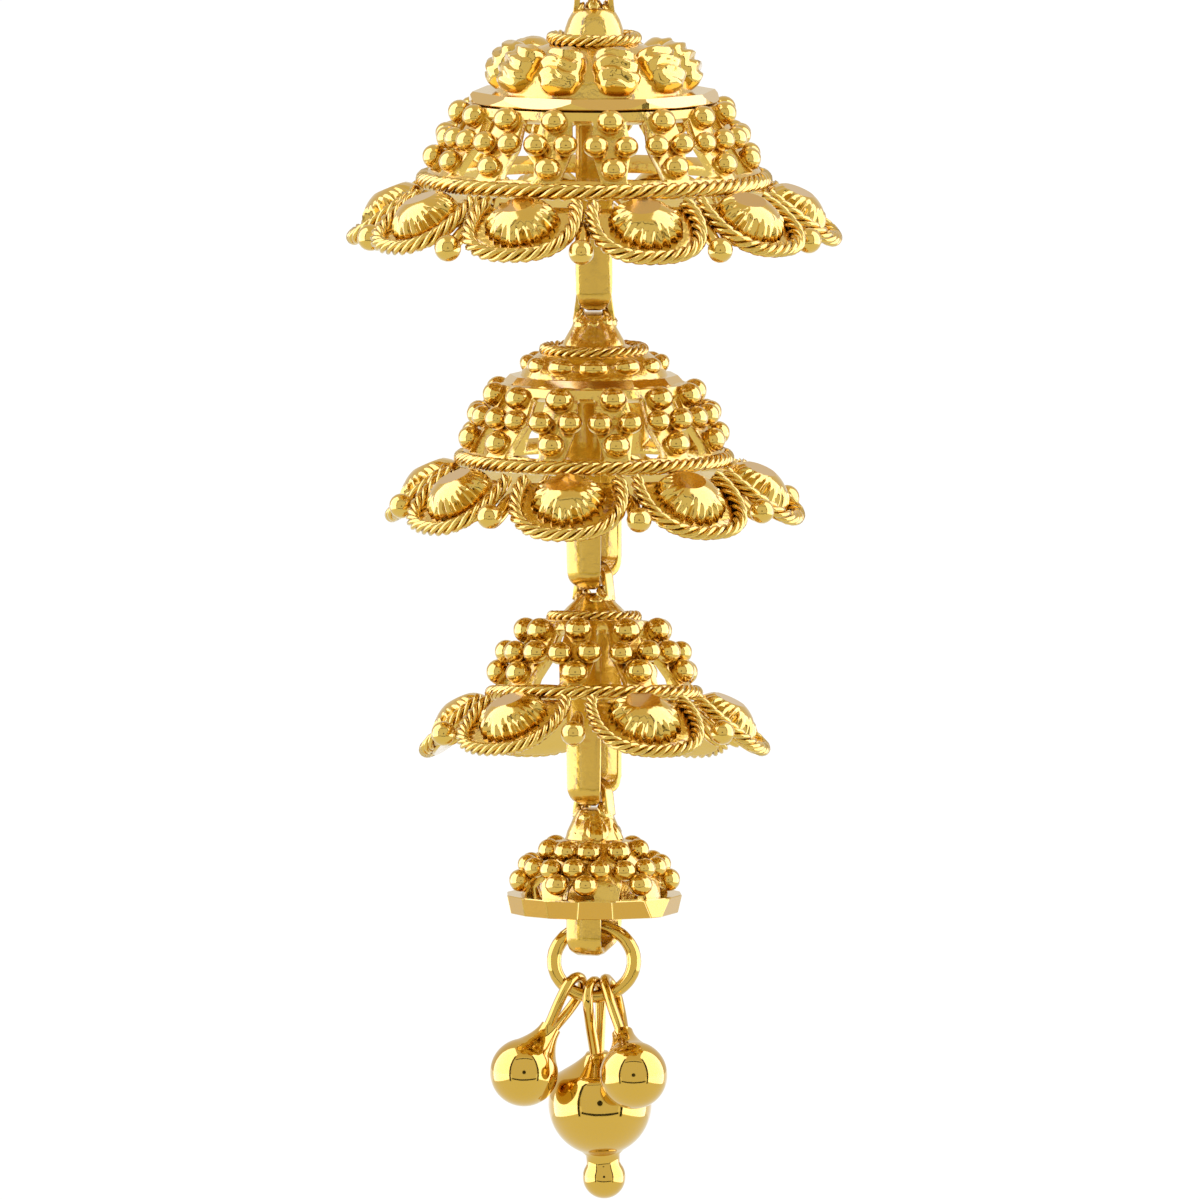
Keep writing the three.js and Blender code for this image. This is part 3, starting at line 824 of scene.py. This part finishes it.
def flange_of(name, dome):
    """The disc between cap and side, or the smallest dome's band, its edge cut in flats."""
    banded = "band" in dome
    spec = dome["band" if banded else "flange"]
    radius, top, bottom = spec["radius"], spec["top"], spec["bottom"]
    inner = radius - spec["deep"]
    # flats that touch the band all round leave its corners further out
    widest = radius / cos(pi / spec["cuts"]) if banded else radius
    outline = [
        (inner, top), (widest - 0.05, top), (widest, top + 0.06), (widest, bottom - 0.05),
        (widest - 0.06, bottom), (inner, bottom),
    ]
    thing = paint(spun(name, outline, 96), "worked gold")
    # The band's flats get the darker gold of painted shade; the flange's flats get the paler gold of painted
    # highlight
    thing.data.materials.append(materials()["burnished gold" if banded else "bright-cut gold"])
    first, slant = spec.get("first", dome["clusters"]["first"]), radians(spec["slant"])
    chance = random.Random(dome["seed"])
    for k in range(spec["cuts"]):
        turn = radians(first + chance.uniform(-1.5, 1.5)) + TURN * k / spec["cuts"]
        out = outwards(turn)
        lean, height = slant, (top + bottom) / 2
        if banded:
            lean = (0 if k == spec["raised"] else slant) + radians(chance.uniform(-3.5, 3.5))
            height = top
        point = out * (radius - spec["bite"]) + Vector((0, 0, -height))
        cut_flat(thing, point, out * cos(lean) + Vector((0, 0, sin(lean))))
    if banded:
        sink_flats(thing)
    return thing


def sink_flats(thing):
    """Sets the cut flats a little into the band, with a plain edge left round each."""
    with editing(thing) as mesh:
        bright = len(thing.data.materials) - 1
        pick(thing, mesh, lambda face: face.material_index == bright, "faces")
        bpy.ops.mesh.inset(thickness=0.035, depth=0.03, use_individual=True)
        mesh = bmesh.from_edit_mesh(thing.data)
        for face in mesh.faces:
            if not face.select and face.material_index == bright:
                face.material_index = 0


def petal_route(spec):
    """The rope's way round a petal: two legs side by side from the dome, and a half oval at the tip."""
    across = spec["half_width"] - spec["wire"]
    bend, fullness = PETAL["bend"], PETAL["fullness"]
    tip = spec["reach"] + bend
    turn = []
    for angle in range(0, -181, -8):
        x, y = cos(radians(angle)), sin(radians(angle))
        turn.append((across * swollen(x, fullness), bend + tip * swollen(y, fullness)))
    right = [(across * share, y) for share, y in PETAL["legs"]]
    left = [(-x, y) for x, y in reversed(right)]
    return [*right, *turn, *left]


def petal_of(name, dome):
    """One petal lying in its own plane: a thin oval plate, a rope round its edge, a fluted boss."""
    spec = dome["petals"]
    half, reach, share = spec["half_width"], spec["reach"], PETAL["plate_share"]
    route = petal_route(spec)
    rope = twisted_wire(name + "_rope", [(x, y, PETAL["rope_height"]) for x, y in route], spec["wire"])
    paint(rope, "worked gold")
    outline = [(share * x, share * y, PETAL["plate_height"]) for x, y in route]
    plate = chain(name + "_plate", outline, closed=True)
    with editing(plate):
        select_whole()
        bpy.ops.mesh.edge_face_add()
        bpy.ops.mesh.inset(thickness=0.5)
        bpy.ops.transform.translate(value=(0, 0, PETAL["plate_raised"]))
        face_outwards()
    modified(plate, "SOLIDIFY", thickness=PETAL["plate"], offset=0)
    paint(softened(rounded(plate, 0.05, 50), 50), "rough gold")
    boss = boss_of(name + "_boss", BOSS["width"] * half, BOSS["length"] * reach, BOSS["centre"] * reach)
    return joined(name, [plate, rope, boss])


def fluted(point, flutes):
    """A point of a unit dome, moved in or out by the uneven flutes round the dome's edge."""
    x, y, z = point
    out = hypot(x, y)
    turn = atan2(y, x)
    uneven = 1 + 0.55 * sin(5 * turn + 1.0) * sin(3 * turn)
    start = BOSS["belt"] + 0.05 * sin(7 * turn)
    belt = clamped((out - start) / 0.12) * min(1.0, max(0.0, 0.8 - y) / 0.3)
    ridge = BOSS["ridge"] * belt * uneven * cos(flutes * turn + 0.8 * sin(2 * turn))
    girth = 1 + ridge - BOSS["step"] * belt
    return x * girth, y * girth, swollen(z, 0.95) + 0.9 * ridge


def boss_of(name, half_width, half_length, centre):
    """An oval boss, fluted round its edge, its top smooth and sliced flat on the side of the dome."""
    flutes = bpy.context.scene.jhumka_sizes.flutes
    rise, base = BOSS["rise"], BOSS["base"]
    thing = new_sphere(name, 5 * flutes, 26)
    with editing(thing) as mesh:
        pick(thing, mesh, lambda v: v.co.z < 0.02)
        bpy.ops.mesh.delete(type="VERT")
        mesh = bmesh.from_edit_mesh(thing.data)
        for vertex in mesh.verts:
            vertex.co = fluted(vertex.co, flutes)
        bmesh.update_edit_mesh(thing.data)
        select_whole()
        bpy.ops.mesh.fill_holes(sides=0)
    thing.scale = (half_width, half_length, rise)
    thing.location = (0, centre, base)
    apply_place(thing)
    paint(softened(thing, 50), "worked gold")
    # The slice on the boss gets the darker gold of painted shade
    thing.data.materials.append(materials()["burnished gold"])
    across, along, up = BOSS["slice"]
    point = (across * half_width, centre + along * half_length, base + up * rise)
    return cut_flat(thing, point, (-0.1, 0.26, 1))


def petals_of(name, dome):
    spec = dome["petals"]
    chance = random.Random(dome["seed"] + 1)
    one = petal_of(name, dome)
    places = []
    for turn in spaced(spec):
        place = seat(turn, *spec["root"], spec["slope"])
        lean = Matrix.Rotation(radians(chance.uniform(-1.5, 1.5)), 4, "X")
        twist = Matrix.Rotation(radians(chance.uniform(-2, 2)), 4, "Z")
        places.append(place @ lean @ twist @ Matrix.Diagonal((chance.uniform(0.98, 1.0), 1, 1, 1)))
    return joined(name, copies(one, places))


def eye_of(name, dome):
    """The eye of strip on top of the dome, its two feet sunk in the neck."""
    middle, splay = EYE["half"] + EYE["thickness"] / 2, 0.12
    foot = -dome["neck"][0][1] - 0.35
    arch = arc((0, EYE["rise"] - EYE["half"]), middle, 0, 180, 12)
    path = [(middle + splay, foot), *arch, (-middle - splay, foot)]
    return turned_about_z(ribbon(name, path, EYE["width"], EYE["thickness"]), dome["eye_turn"])


def strap_of(name, dome):
    """The U of strip that hangs inside and below the dome, its foot at a slant."""
    half, corner = STRAP["depth"] / 2, STRAP["corner"] - STRAP["thickness"] / 2
    low = -dome["strap_foot"]
    top = -dome["neck"][-1][1]
    straight = [low + corner + (top - low - corner) * k / 6 for k in range(6, 0, -1)]
    level = [
        *[(-half, z) for z in straight],
        *arc((corner - half, low + corner), corner, 180, 270, 8),
        *arc((half - corner, low + corner), corner, 270, 360, 8),
        *[(half, z) for z in reversed(straight)],
    ]
    rising = tan(radians(STRAP["foot_slope"]))
    points = [(y, z + y * rising * clamped((low + 2 * corner - z) / corner)) for y, z in level]
    strap = ribbon(name, points, STRAP["width"], STRAP["thickness"], STRAP["dish"])
    turned_about_z(strap, 90)
    narrowed = dome.get("strap_narrowed", STRAP["narrowed"])
    with editing(strap) as mesh:
        for vertex in mesh.verts:
            # the foot is narrower where it passes through the next eye
            inner = max(0.0, 1 - abs(vertex.co.y) / (half - 0.1)) * (vertex.co.z < low + corner)
            lift = clamped((vertex.co.z - low + 0.3) / 1.2)
            rounding = 1 - sqrt(1 - (1 - lift) ** 2)
            vertex.co.x *= 1 - (1 - narrowed) * min(1.0, max(2.5 * inner, rounding))
    return turned_about_z(strap, dome["strap_turn"])


def eye_and_strap_of(name, dome):
    both = joined(name, [eye_of(name, dome), strap_of(name + "_strap", dome)])
    jostled(both, 0.012, dome["seed"])
    return paint(softened(both, 50), "satin gold")


def settle(thing, node, body, hang):
    """Scales a piece to metres, puts it at its hanging point and ties it to the frame."""
    thing.scale = (MM, MM, MM)
    thing.location = (0, 0, hang)
    apply_place(thing)
    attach(thing, body)
    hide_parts(node)
    return thing


def hang_of(node):
    """Height of a dome's hanging point, in metres, from the top of its eye in the frame."""
    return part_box(node)[1].z - EYE_TOP * MM


def make_dome(node):
    dome = DOMES[node]
    made = [
        joined(node + "_wall", [wall_of(node + "_bell", dome), solder_of(node + "_solder", dome)]),
        granules_of(node + "_granules", dome),
        flange_of(node + "_flats", dome) if "flange" in dome or "band" in dome else None,
        cushions_of(node + "_cushions", dome) if "cushions" in dome else None,
        petals_of(node + "_petals", dome) if "petals" in dome else None,
    ]
    ropes = [rope_ring(f"{node}_{ring}_rope", dome[ring]) for ring in ("collar", "rim") if ring in dome]
    if ropes:
        made.append(paint(joined(node + "_ropes", ropes), "worked gold"))
    for thing in filter(None, made):
        thing.rotation_euler.x = -radians(dome.get("tipped", 0))
        apply_place(thing)
        settle(thing, node, dome["body"], hang_of(node))
    settle(eye_and_strap_of(node + "_strap", dome), node, dome["body"], hang_of(node))


# ---- hook, ring and drops
def wire_ring(name, radius, wire, steps, sides, axis, up=0.0, squash=1.0):
    """A standing ring of round wire, tipped up about an axis, its second width squashed."""
    bpy.ops.object.select_all(action="DESELECT")
    bpy.ops.mesh.primitive_torus_add(
        major_radius=radius, minor_radius=wire, major_segments=steps, minor_segments=sides,
        location=(0, 0, up), rotation=(pi / 2, 0, 0) if axis == "X" else (0, pi / 2, 0),
    )
    ring = named(name)
    ring.scale.y = squash
    apply_place(ring)
    return softened(ring, 60)


def make_hook():
    wire, bend, rear = HOOK["wire"], HOOK["bend"], HOOK["rear"]
    ring_top = 2 * HOOK["ring"] - HOOK["drop"]
    crown = [(bend * a, wire - bend + bend * b) for a, b in arc((0, 0), 1, 180, 0, 14)]
    rising = [
        (0, ring_top - 0.15), (-0.12 * bend, ring_top + 0.7), (-0.42 * bend, ring_top + 3.2),
        (-0.82 * bend, ring_top + 6.6),
    ]
    falling = [(bend + 0.02, -0.45 * rear), (bend + 0.2, -0.7 * rear), (bend + HOOK["flare"], -rear)]
    path = [*rising, *crown, *falling]
    stem = round_wire("hook_stem", smoothed([(0, y, z) for y, z in path]), wire, 4)
    ring = wire_ring("hook_ring", HOOK["ring"], wire, 56, 18, "Y", HOOK["ring"] - HOOK["drop"])
    hook = paint(jostled(joined("ear_hook_wire", [stem, ring]), 0.008, 3), "plain gold")
    settle(hook, "ear_hook", "top", 0)


def smoothed(points):
    """More points on a smooth line through these."""
    line = chain("line", points)
    modified(line, "SUBSURF", levels=2, render_levels=2)
    mesh = line.data
    following = {}
    for edge in mesh.edges:
        for a, b in (edge.vertices, reversed(edge.vertices)):
            following.setdefault(a, []).append(b)
    at = min((v for v, near in following.items() if len(near) == 1),
             key=lambda v: (mesh.vertices[v].co - Vector(points[0])).length)
    order, seen = [at], {at}
    while True:
        ahead = [v for v in following[order[-1]] if v not in seen]
        if not ahead:
            break
        order.append(ahead[0])
        seen.add(ahead[0])
    found = [mesh.vertices[v].co.copy() for v in order]
    delete(line)
    return found


def ring_middle():
    """Height of the jump ring's middle, in metres."""
    low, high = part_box("jump_ring")
    return (low.z + high.z) / 2


def make_ring():
    squash = RING["half_height"] / RING["half_width"]
    ring = wire_ring("jump_ring_wire", RING["half_width"], RING["wire"], 72, 20, "X", squash=squash)
    jostled(ring, 0.008, 5)
    settle(paint(ring, "plain gold"), "jump_ring", "small", ring_middle())


def loop_of(name, tip):
    """A drop's doubled wire: over the ring at the top, and side by side into the cone's tip."""
    half, foot = LOOP["half"], LOOP["foot"]
    sunk, mouth, spread = tip + 0.5, tip - 0.15, foot + 0.04
    arch = [(0, -across, up) for across, up in arc((0, 0), half, 0, 180, 10)]
    path = [
        (0, -foot, -sunk), (0, -spread, -mouth), (0, -0.8 * half, -0.5 * tip), *arch,
        (0, 0.8 * half, -0.5 * tip), (0, spread, -mouth), (0, foot, -sunk),
    ]
    return turned_about_z(round_wire(name, smoothed(path), LOOP["wire"], 3), LOOP["turn"])


def make_drop(node):
    """A ball under a flared cone, on a doubled wire round the jump ring."""
    spec = DROPS[node]
    ring_at = ring_middle()
    dome_at = (hang_of("small_dome") - ring_at) / MM
    fall = sqrt(1 - (spec["on"] / RING["half_width"]) ** 2) * RING["half_height"]
    top = Vector((spec["on"], 0, -fall))
    x, y, z = spec["ball"]
    centre = Vector((x, y, z + dome_at))
    down = (centre - top).normalized()
    aside = Vector((1, 0, 0)).cross(down).normalized()
    place = Matrix((-aside.cross(down), aside, -down)).transposed().to_4x4()
    place.translation = top
    reach = (centre - top).length
    tip = reach - spec["radius"] - spec["cone"]
    loop = loop_of(node + "_loop", tip)
    ball = softened(spun(node + "_ball", ball_outline(spec, reach, tip), 56), 60)
    drop = joined(node + "_gold", [loop, ball])
    drop.matrix_world = place
    apply_place(drop)
    settle(paint(drop, "polished gold"), node, "small", ring_at)


def round_profile(radius, middle, angles):
    """(radius, height below) points on a ball whose middle is that far below, by degrees from its top."""
    turns = [radians(angle) for angle in angles]
    return [(radius * sin(turn), middle - radius * cos(turn)) for turn in turns]


def ball_outline(spec, reach, tip):
    """The ball's profile below the loop's top: a flared cone, the ball and the centre drop's bead."""
    radius, neck = spec["radius"], LOOP["foot"] + LOOP["wire"] + 0.04
    bead = spec.get("bead")
    start, power = (52, 1.35) if bead else (42, 1.8)
    meet = round_profile(radius, reach, [start])[0]
    flare = []
    for share in (0, 0.12, 0.25, 0.4, 0.55, 0.7, 0.85):
        flare.append((neck + share ** power * (meet[0] - neck), tip + share * (meet[1] - tip)))
    body = round_profile(radius, reach, range(start, 158 if bead else 179, 6))
    if not bead:
        return [(0, tip), *flare, *body, (0, reach + radius)]
    middle = reach + bead["below"]
    stem = [(bead["stem"], reach + 0.99 * radius), (bead["stem"] - 0.03, middle - 0.72 * bead["radius"])]
    lower = round_profile(bead["radius"], middle, range(54, 179, 9))
    return [(0, tip), *flare, *body, *stem, *lower, (0, middle + bead["radius"])]


# ---- studio, in metres and degrees
FLOOR = {"below": 0.6, "radius": 25.0}
# A lamp reaches from "foot" to "head", from the middle of the object; its light is cool, which the gold
# turns to a pale yellow.
LAMP = {
    "azimuth": 87, "width": 1.6, "distance": 1.0, "foot": -0.4, "head": 2.6, "strength": 3.0,
    "colour": (0.5, 0.54, 1.0),
}
WORLD = {"colour": (1.0, 0.88, 0.68), "strength": 0.76}
BLACK = (0.0, 0.0, 0.0)
CARD_LOOKS = {  # colour and glow
    "black card": ((0.01, 0.01, 0.01), BLACK),
    "front card": (BLACK, (0.8, 0.776, 0.72)),
    "lower card": (BLACK, (0.86, 0.85, 0.76)),
}
CARDS = {  # azimuth, elevation, distance, width, height and look
    "front panel": (0, 20, 1.1, 2.2, 1.7, "front card"),
    "left edge": (-49, 15, 0.95, 0.1, 1.7, "black card"),
    "right edge": (49, 15, 0.95, 0.1, 1.7, "black card"),
    "lower edge": (0, -22, 0.95, 1.6, 0.085, "black card"),
    "upper edge": (0, 52, 0.95, 0.95, 0.05, "black card"),
    "lens": (0, 4, 0.9, 0.2, 0.2, "black card"),
    "lower panel": (0, -90, 0.5, 4.0, 4.0, "lower card"),
}
ROUND_CARDS = ("lens", "lower panel")
# "shown" is the width that the picture spans at the distance of the aim; the sensor is in mm
CAMERA = {"distance": 2.4, "elevation": 5.2, "aim": (0.00027, 0, -0.0436), "shown": 0.054, "sensor": 36}


def plain(name, colour, glow):
    """A matt studio material, which may glow."""
    recipe = Recipe(name)
    recipe.set(
        base_color=(*colour, 1), roughness=0.9, emission_color=(*glow, 1), emission_strength=1.0,
    )
    return recipe.material


def softbox(name, azimuth):
    """A tall soft light beside the object, which shows in the gold alone."""
    turn, width, distance = radians(azimuth), LAMP["width"], LAMP["distance"]
    low, high = STUDIO_MIDDLE.z + LAMP["foot"], STUDIO_MIDDLE.z + LAMP["head"]
    place = Vector((sin(turn) * distance, -cos(turn) * distance, (low + high) / 2))
    bpy.ops.object.light_add(type="AREA", location=place)
    lamp = active()
    lamp.name = name
    lamp.data.shape = "RECTANGLE"
    lamp.data.size, lamp.data.size_y = width, high - low
    lamp.data.energy = LAMP["strength"] * width * (high - low) * pi
    lamp.data.color = LAMP["colour"]
    aim = Vector((0, 0, place.z)) - place
    lamp.rotation_euler = aim.to_track_quat("-Z", "Y").to_euler()
    lamp.visible_camera = False
    lamp.visible_diffuse = False


def card(name, azimuth, elevation, distance, width, height, material, round_card):
    """A card that faces the object and shows in the gold alone."""
    turn, lift = radians(azimuth), radians(elevation)
    level = distance * cos(lift)
    place = STUDIO_MIDDLE + Vector((
        sin(turn) * level, -cos(turn) * level, distance * sin(lift)
    ))
    bpy.ops.object.select_all(action="DESELECT")
    if round_card:
        bpy.ops.mesh.primitive_circle_add(vertices=32, radius=0.5, fill_type="NGON", location=place)
    else:
        bpy.ops.mesh.primitive_plane_add(size=1, location=place)
    thing = named(name)
    thing.scale = (width, height, 1)
    thing.rotation_euler = (STUDIO_MIDDLE - place).to_track_quat("Z", "Y").to_euler()
    apply_place(thing)
    thing.data.materials.append(material)
    thing.visible_camera = thing.visible_diffuse = thing.visible_shadow = False


def make_camera():
    distance, rise = CAMERA["distance"], radians(CAMERA["elevation"])
    aim = Vector(CAMERA["aim"])
    bpy.ops.object.camera_add()
    camera = active()
    camera.name = "camera"
    camera.location = aim + distance * Vector((0, -cos(rise), sin(rise)))
    camera.rotation_euler = (aim - camera.location).to_track_quat("-Z", "Y").to_euler()
    camera.data.sensor_width = CAMERA["sensor"]
    camera.data.lens = CAMERA["sensor"] * distance / CAMERA["shown"]
    camera.data.clip_start, camera.data.clip_end = 0.01, 60
    bpy.context.scene.camera = camera


def make_stage():
    colours = bpy.context.scene.jhumka_colours
    bpy.ops.object.select_all(action="DESELECT")
    bpy.ops.mesh.primitive_circle_add(
        vertices=96, radius=FLOOR["radius"], fill_type="NGON",
        location=(0, 0, CAD_LOW.z - FLOOR["below"]),
    )
    floor = named("floor")
    apply_place(floor)
    floor.data.materials.append(plain("pale floor", BLACK, tuple(colours.floor)))

    softbox("left light", -LAMP["azimuth"])
    softbox("right light", LAMP["azimuth"])
    looks = {look: plain(look, *tones) for look, tones in CARD_LOOKS.items()}
    for name, (*place, look) in CARDS.items():
        card(name, *place, looks[look], name in ROUND_CARDS)

    world = bpy.context.scene.world or bpy.data.worlds.new("studio")
    bpy.context.scene.world = world
    world.use_nodes = True
    light = world.node_tree.nodes["Background"]
    light.inputs["Color"].default_value = (*WORLD["colour"], 1)
    light.inputs["Strength"].default_value = WORLD["strength"]
    make_camera()
    bpy.context.scene.view_settings.view_transform = "Standard"


# ---- operators
class JHUMKA_OT_top_dome(bpy.types.Operator):
    """Make the widest dome, with its cushions, cut flange and ten petals"""

    bl_idname = "jhumka.top_dome"
    bl_label = "Top Dome"

    def execute(self, context):
        make_dome("top_dome")
        return {"FINISHED"}


class JHUMKA_OT_second_dome(bpy.types.Operator):
    """Make the second dome, with its necklace of granules and eight petals"""

    bl_idname = "jhumka.second_dome"
    bl_label = "Second Dome"

    def execute(self, context):
        make_dome("second_dome")
        return {"FINISHED"}


class JHUMKA_OT_third_dome(bpy.types.Operator):
    """Make the third dome, with its six petals"""

    bl_idname = "jhumka.third_dome"
    bl_label = "Third Dome"

    def execute(self, context):
        make_dome("third_dome")
        return {"FINISHED"}


class JHUMKA_OT_small_dome(bpy.types.Operator):
    """Make the smallest dome, over its band of flats"""

    bl_idname = "jhumka.small_dome"
    bl_label = "Small Dome"

    def execute(self, context):
        make_dome("small_dome")
        return {"FINISHED"}


class JHUMKA_OT_findings(bpy.types.Operator):
    """Make the wire hook and the jump ring"""

    bl_idname = "jhumka.findings"
    bl_label = "Hook and Ring"

    def execute(self, context):
        make_hook()
        make_ring()
        return {"FINISHED"}


class JHUMKA_OT_drops(bpy.types.Operator):
    """Make the three ball drops on their wire loops"""

    bl_idname = "jhumka.drops"
    bl_label = "Ball Drops"

    def execute(self, context):
        for node in DROPS:
            make_drop(node)
        return {"FINISHED"}


class JHUMKA_OT_stage(bpy.types.Operator):
    """Set up the pale floor, the soft lights and the camera"""

    bl_idname = "jhumka.stage"
    bl_label = "Studio"

    def execute(self, context):
        make_stage()
        return {"FINISHED"}


STEPS = (
    JHUMKA_OT_stage, JHUMKA_OT_top_dome, JHUMKA_OT_second_dome, JHUMKA_OT_third_dome,
    JHUMKA_OT_small_dome, JHUMKA_OT_findings, JHUMKA_OT_drops,
)


class JHUMKA_PT_panel(bpy.types.Panel):
    """The earring's makers and sizes"""

    bl_idname = "JHUMKA_PT_panel"
    bl_label = "Tiered Jhumka"
    bl_space_type = "VIEW_3D"
    bl_region_type = "UI"
    bl_category = "Jhumka"

    def draw(self, context):
        layout = self.layout
        for group in (context.scene.jhumka_sizes, context.scene.jhumka_colours):
            for field in group.bl_rna.properties:
                if not field.is_readonly and field.identifier != "name":
                    layout.prop(group, field.identifier)
        for step in STEPS:
            layout.operator(step.bl_idname)


CLASSES = (JhumkaSizes, JhumkaColours, *STEPS, JHUMKA_PT_panel)


def register():
    for cls in CLASSES:
        bpy.utils.register_class(cls)
    bpy.types.Scene.jhumka_sizes = PointerProperty(type=JhumkaSizes)
    bpy.types.Scene.jhumka_colours = PointerProperty(type=JhumkaColours)


def unregister():
    del bpy.types.Scene.jhumka_colours
    del bpy.types.Scene.jhumka_sizes
    for cls in reversed(CLASSES):
        bpy.utils.unregister_class(cls)


def main():
    register()
    for step in STEPS:
        group, name = step.bl_idname.split(".")
        getattr(getattr(bpy.ops, group), name)()


if __name__ == "__main__":
    main()
